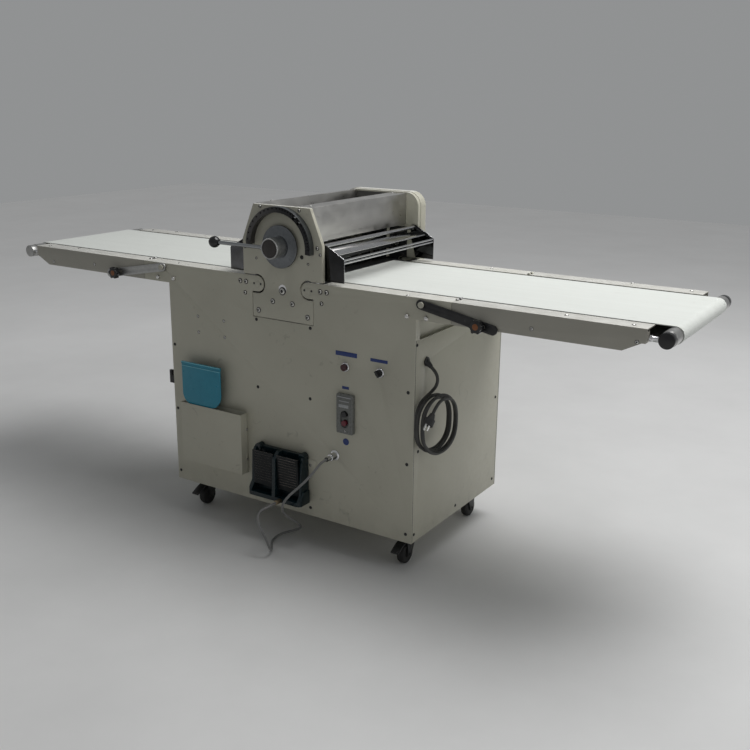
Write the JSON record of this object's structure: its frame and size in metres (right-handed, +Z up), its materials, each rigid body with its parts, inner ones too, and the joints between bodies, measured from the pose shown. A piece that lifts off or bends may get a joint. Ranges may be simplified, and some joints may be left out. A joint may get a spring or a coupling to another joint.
{
  "type": "reversible dough sheeter",
  "caption": "Floor-standing reversible dough sheeter: ivory cabinet on casters, roll head with gap lever, folding belt tables, finger guards and foot switch.",
  "frame": {"origin": "on the floor, below the middle of the machine without its cords", "axes": "+X along the conveyor to the right as the operator at the front sees it, +Y to the back, +Z up"},
  "size_m": [2.4306, 0.775, 1.104],
  "materials": {
    "ivory_paint": "satin ivory powder coat",
    "dark_steel": "dark phosphated steel",
    "stainless": "brushed stainless sheet",
    "bright_steel": "polished steel",
    "belt_fabric": "white woven belt",
    "machine_steel": "turned and plated steel",
    "motor_grey": "grey enamel",
    "black_plastic": "moulded black",
    "black_rubber": "moulded rubber",
    "grey_tyre": "grey tread",
    "teal_plastic": "moulded teal",
    "red_plastic": "moulded red",
    "pedal_enamel": "dark green-black enamel",
    "cable_grey": "grey cable sheath",
    "station_enamel": "dark grey enamel"
  },
  "bodies": {
    "cabinet": {"base_frame": "ivory_paint", "front_panel": "ivory_paint", "rear_panel": "ivory_paint", "side_panels": "ivory_paint", "head_plates": "ivory_paint", "hood": "stainless", "rear_drive_cover": "ivory_paint", "index_plate": "dark_steel", "transfer_plates": "stainless", "inner_beds": "stainless", "inner_belts": "belt_fabric", "gear_motor": "motor_grey", "drive_chains": "machine_steel", "control_box": "black_plastic", "foot_switch_body": "pedal_enamel", "switch_housings": "station_enamel", "scraper_pocket": "ivory_paint", "cable_fittings": "black_plastic", "foot_cable": "cable_grey", "power_lead": "black_rubber", "power_coil": "black_rubber", "power_plug": "black_rubber"},
    "left_table": {"left_table_frame": "ivory_paint", "left_belt_outer": "belt_fabric"},
    "right_table": {"right_table_frame": "ivory_paint", "right_belt_outer": "belt_fabric"},
    "gap_lever": {"gap_lever": "dark_steel", "gap_cams": "machine_steel"},
    "upper_carriage": {"upper_roll_carriage": "machine_steel"},
    "left_stay": {"left_stay": "machine_steel"},
    "right_stay": {"right_stay": "machine_steel"},
    "left_stay_knob": {"left_stay_knob": "black_plastic"},
    "right_stay_knob": {"right_stay_knob": "black_plastic"},
    "upper_roll": {"upper_roll": "bright_steel"},
    "lower_roll": {"lower_roll": "bright_steel"},
    "jackshaft": {"jackshaft": "machine_steel"},
    "motor_sprocket": {"motor_sprocket": "machine_steel"},
    "left_drive_roll": {"left_drive_roll": "machine_steel"},
    "right_drive_roll": {"right_drive_roll": "machine_steel"},
    "left_end_roller": {"left_end_roller": "machine_steel"},
    "right_end_roller": {"right_end_roller": "machine_steel"},
    "left_guard": {"left_guard": "bright_steel"},
    "right_guard": {"right_guard": "bright_steel"},
    "left_front_fork": {"left_front_fork": "machine_steel"},
    "left_rear_fork": {"left_rear_fork": "machine_steel"},
    "right_front_fork": {"right_front_fork": "machine_steel"},
    "right_rear_fork": {"right_rear_fork": "machine_steel"},
    "left_front_wheel": {"left_front_wheel": "grey_tyre"},
    "left_rear_wheel": {"left_rear_wheel": "grey_tyre"},
    "right_front_wheel": {"right_front_wheel": "grey_tyre"},
    "right_rear_wheel": {"right_rear_wheel": "grey_tyre"},
    "left_brake_pedal": {"left_brake_pedal": "machine_steel"},
    "right_brake_pedal": {"right_brake_pedal": "machine_steel"},
    "left_foot_pedal": {"left_foot_pedal": "pedal_enamel"},
    "right_foot_pedal": {"right_foot_pedal": "pedal_enamel"},
    "start_button": {"start_button": "black_plastic"},
    "stop_button": {"stop_button": "red_plastic"},
    "red_button": {"red_button": "red_plastic"},
    "selector_knob": {"selector_knob": "black_plastic"},
    "bowl_scraper": {"bowl_scraper": "teal_plastic"}
  },
  "joints": [
    {"name": "left_table_fold", "type": "hinge", "parent": "cabinet", "child": "left_table", "pos_m": [-0.593, 0.0235, 0.875], "axis": [0, 1, 0], "range_deg": [0, 90]},
    {"name": "left_stay_turn", "type": "hinge", "parent": "cabinet", "child": "left_stay", "pos_m": [-0.506, -0.2685, 0.861], "axis": [0, 1, 0], "range_deg": [0, 56]},
    {"name": "left_stay_knob_turn", "type": "hinge", "parent": "left_table", "child": "left_stay_knob", "pos_m": [-0.719, -0.279, 0.822], "axis": [0, -1, 0], "range_deg": [0, 360]},
    {"name": "left_end_roller_spin", "type": "hinge", "parent": "left_table", "child": "left_end_roller", "pos_m": [-1.191, 0.0235, 0.85], "axis": [0, 1, 0], "continuous": true},
    {"name": "left_drive_roll_spin", "type": "hinge", "parent": "cabinet", "child": "left_drive_roll", "pos_m": [-0.0985, 0.0235, 0.85], "axis": [0, 1, 0], "continuous": true},
    {"name": "left_guard_lift", "type": "hinge", "parent": "cabinet", "child": "left_guard", "pos_m": [-0.135, 0.0235, 0.982], "axis": [0, 1, 0], "range_deg": [0, 45]},
    {"name": "left_front_caster_swivel", "type": "hinge", "parent": "cabinet", "child": "left_front_fork", "pos_m": [-0.415, -0.1665, 0.08], "axis": [0, 0, 1], "continuous": true},
    {"name": "left_front_wheel_roll", "type": "hinge", "parent": "left_front_fork", "child": "left_front_wheel", "pos_m": [-0.415, -0.1915, 0.0325], "axis": [1, 0, 0], "continuous": true},
    {"name": "left_rear_caster_swivel", "type": "hinge", "parent": "cabinet", "child": "left_rear_fork", "pos_m": [-0.415, 0.2135, 0.08], "axis": [0, 0, 1], "continuous": true},
    {"name": "left_rear_wheel_roll", "type": "hinge", "parent": "left_rear_fork", "child": "left_rear_wheel", "pos_m": [-0.415, 0.2385, 0.0325], "axis": [1, 0, 0], "continuous": true},
    {"name": "left_brake_press", "type": "hinge", "parent": "left_front_fork", "child": "left_brake_pedal", "pos_m": [-0.415, -0.1945, 0.078], "axis": [1, 0, 0], "range_deg": [0, 14]},
    {"name": "right_table_fold", "type": "hinge", "parent": "cabinet", "child": "right_table", "pos_m": [0.593, 0.0235, 0.875], "axis": [0, -1, 0], "range_deg": [0, 90]},
    {"name": "right_stay_turn", "type": "hinge", "parent": "cabinet", "child": "right_stay", "pos_m": [0.5, -0.2685, 0.857], "axis": [0, -1, 0], "range_deg": [0, 47.9]},
    {"name": "right_stay_knob_turn", "type": "hinge", "parent": "right_table", "child": "right_stay_knob", "pos_m": [0.682, -0.279, 0.822], "axis": [0, -1, 0], "range_deg": [0, 360]},
    {"name": "right_end_roller_spin", "type": "hinge", "parent": "right_table", "child": "right_end_roller", "pos_m": [1.191, 0.0235, 0.85], "axis": [0, 1, 0], "continuous": true},
    {"name": "right_drive_roll_spin", "type": "hinge", "parent": "cabinet", "child": "right_drive_roll", "pos_m": [0.0985, 0.0235, 0.85], "axis": [0, 1, 0], "continuous": true},
    {"name": "right_guard_lift", "type": "hinge", "parent": "cabinet", "child": "right_guard", "pos_m": [0.135, 0.0235, 0.982], "axis": [0, -1, 0], "range_deg": [0, 45]},
    {"name": "right_front_caster_swivel", "type": "hinge", "parent": "cabinet", "child": "right_front_fork", "pos_m": [0.415, -0.1665, 0.08], "axis": [0, 0, 1], "continuous": true},
    {"name": "right_front_wheel_roll", "type": "hinge", "parent": "right_front_fork", "child": "right_front_wheel", "pos_m": [0.415, -0.1915, 0.0325], "axis": [1, 0, 0], "continuous": true},
    {"name": "right_rear_caster_swivel", "type": "hinge", "parent": "cabinet", "child": "right_rear_fork", "pos_m": [0.415, 0.2135, 0.08], "axis": [0, 0, 1], "continuous": true},
    {"name": "right_rear_wheel_roll", "type": "hinge", "parent": "right_rear_fork", "child": "right_rear_wheel", "pos_m": [0.415, 0.2385, 0.0325], "axis": [1, 0, 0], "continuous": true},
    {"name": "right_brake_press", "type": "hinge", "parent": "right_front_fork", "child": "right_brake_pedal", "pos_m": [0.415, -0.1945, 0.078], "axis": [1, 0, 0], "range_deg": [0, 14]},
    {"name": "gap_lever_turn", "type": "hinge", "parent": "cabinet", "child": "gap_lever", "pos_m": [0, 0.0235, 0.976], "axis": [0, 1, 0], "range_deg": [0, 190]},
    {"name": "gap_slide", "type": "slide", "parent": "cabinet", "child": "upper_carriage", "axis": [0, 0, -1], "range_m": [0, 0.0242]},
    {"name": "lower_roll_spin", "type": "hinge", "parent": "cabinet", "child": "lower_roll", "pos_m": [0, 0.0235, 0.8425], "axis": [0, 1, 0], "continuous": true},
    {"name": "upper_roll_spin", "type": "hinge", "parent": "upper_carriage", "child": "upper_roll", "pos_m": [0, 0.0235, 0.9315], "axis": [0, 1, 0], "continuous": true},
    {"name": "jackshaft_spin", "type": "hinge", "parent": "cabinet", "child": "jackshaft", "pos_m": [0.07, 0.0235, 0.92475], "axis": [0, 1, 0], "continuous": true},
    {"name": "motor_sprocket_spin", "type": "hinge", "parent": "cabinet", "child": "motor_sprocket", "pos_m": [0, 0.0235, 0.6], "axis": [0, 1, 0], "continuous": true},
    {"name": "left_pedal_press", "type": "hinge", "parent": "cabinet", "child": "left_foot_pedal", "pos_m": [-0.054, -0.299, 0.198], "axis": [-1, 0, 0], "range_deg": [0, 8], "stiffness_Nm_per_rad": 6},
    {"name": "right_pedal_press", "type": "hinge", "parent": "cabinet", "child": "right_foot_pedal", "pos_m": [0.044, -0.299, 0.198], "axis": [-1, 0, 0], "range_deg": [0, 8], "stiffness_Nm_per_rad": 6},
    {"name": "start_press", "type": "slide", "parent": "cabinet", "child": "start_button", "axis": [0, 1, 0], "range_m": [0, 0.004], "stiffness_N_per_m": 300},
    {"name": "stop_press", "type": "slide", "parent": "cabinet", "child": "stop_button", "axis": [0, 1, 0], "range_m": [0, 0.004], "stiffness_N_per_m": 300},
    {"name": "red_press", "type": "slide", "parent": "cabinet", "child": "red_button", "axis": [0, 1, 0], "range_m": [0, 0.004], "stiffness_N_per_m": 300},
    {"name": "selector_turn", "type": "hinge", "parent": "cabinet", "child": "selector_knob", "pos_m": [0.361, -0.276, 0.633], "axis": [0, 1, 0], "range_deg": [-45, 45]},
    {"name": "scraper_lift", "type": "slide", "parent": "cabinet", "child": "bowl_scraper", "axis": [0, 0, 1], "range_m": [0, 0.2]}
  ],
  "couplings": [
    {"joint": "left_stay_turn", "follows": "left_table_fold", "ratio": 0.6132},
    {"joint": "right_stay_turn", "follows": "right_table_fold", "ratio": 0.5234},
    {"joint": "gap_slide", "follows": "gap_lever_turn", "m_per_rad": 0.0072374},
    {"joint": "upper_roll_spin", "follows": "lower_roll_spin", "ratio": -1},
    {"joint": "jackshaft_spin", "follows": "lower_roll_spin", "ratio": -1},
    {"joint": "motor_sprocket_spin", "follows": "lower_roll_spin", "ratio": 1.6},
    {"joint": "left_drive_roll_spin", "follows": "lower_roll_spin", "ratio": 1.6364},
    {"joint": "left_end_roller_spin", "follows": "lower_roll_spin", "ratio": 1.6364},
    {"joint": "right_drive_roll_spin", "follows": "lower_roll_spin", "ratio": 1.6364},
    {"joint": "right_end_roller_spin", "follows": "lower_roll_spin", "ratio": 1.6364}
  ]
}
